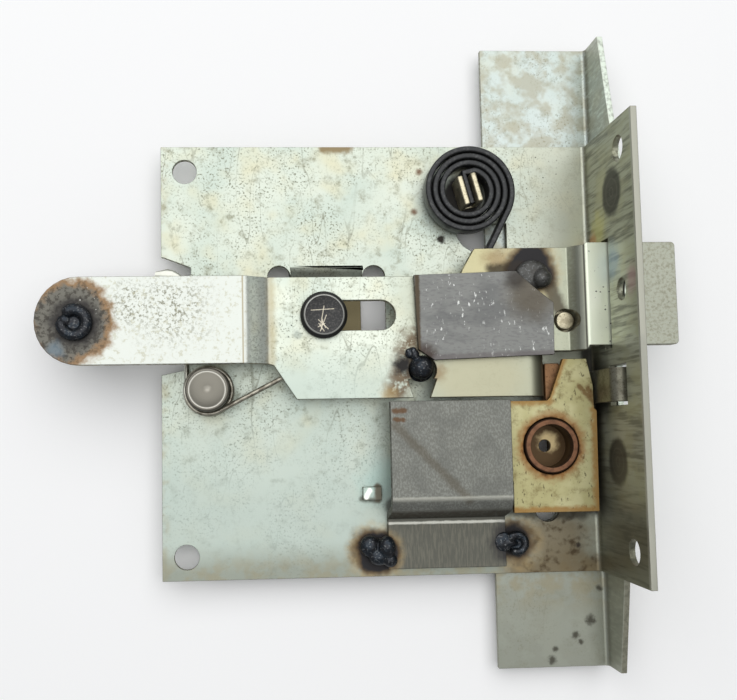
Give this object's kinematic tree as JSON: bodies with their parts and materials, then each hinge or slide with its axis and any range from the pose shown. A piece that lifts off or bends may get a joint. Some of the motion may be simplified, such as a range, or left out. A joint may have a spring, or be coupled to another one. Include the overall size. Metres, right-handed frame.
{
  "type": "rim night latch",
  "caption": "Open-frame rim latch: a sprung slide bolt on a bent base plate, worked by a square-spindle hub and a pull arm.",
  "frame": {"origin": "the middle of the base plate back face, which lies at Z = 0", "axes": "+X is the way the bolt throws, +Y runs along the front flange, +Z rises from the base plate towards the mechanism"},
  "size_m": [0.1536, 0.1579, 0.036],
  "materials": {
    "zinc": "pale zinc passivate, worn and speckled",
    "yellow_zinc": "yellow zinc passivate, heat tinted near the welds",
    "raw_steel": "bare grey mill steel",
    "black_oxide": "black oxide, satin",
    "bright_steel": "bright drawn steel",
    "weld": "dark weld metal with scale",
    "rusty_steel": "steel with a thin coat of rust"
  },
  "bodies": {
    "latch_frame": {"base_plate": "zinc", "mounting_angle": "zinc", "guide_rivet": "black_oxide", "guide_bush": "rusty_steel", "spring_post": "raw_steel", "torsion_spring": "bright_steel", "spring_arbor": "bright_steel", "clock_spring": "black_oxide", "hub_case_top": "yellow_zinc", "hub_case_lower": "yellow_zinc", "hold_down_cover": "raw_steel", "flange_lug": "raw_steel", "case_spacer_1": "raw_steel", "case_spacer_2": "raw_steel", "case_spacer_3": "raw_steel", "case_spacer_4": "raw_steel", "cover_weld_left": "weld", "cover_weld_right": "weld"},
    "bolt_carriage": {"slide_bar": "zinc", "latch_bolt": "yellow_zinc", "connecting_strap": "raw_steel", "pull_stud": "raw_steel", "plug_weld": "weld", "bolt_pin": "bright_steel", "strap_weld_left": "weld", "strap_weld_small": "weld", "strap_weld_right": "weld"},
    "hub_assembly": {"hub_sleeve": "rusty_steel", "hub_cam": "rusty_steel", "hub_retainer": "raw_steel"}
  },
  "joints": [
    {"name": "bolt_slide", "type": "slide", "parent": "latch_frame", "child": "bolt_carriage", "axis": [-1, 0, 0], "range_m": [0, 0.0127], "stiffness_N_per_m": 300, "springref_m": -0.012, "deforming": ["clock_spring", "torsion_spring"]},
    {"name": "hub_turn", "type": "hinge", "parent": "latch_frame", "child": "hub_assembly", "pos_m": [0.0402, -0.0226, 0], "axis": [0, 0, 1], "range_deg": [0, 35]}
  ],
  "couplings": [
    {"joint": "hub_turn", "follows": "bolt_slide", "rad_per_m": 48}
  ]
}
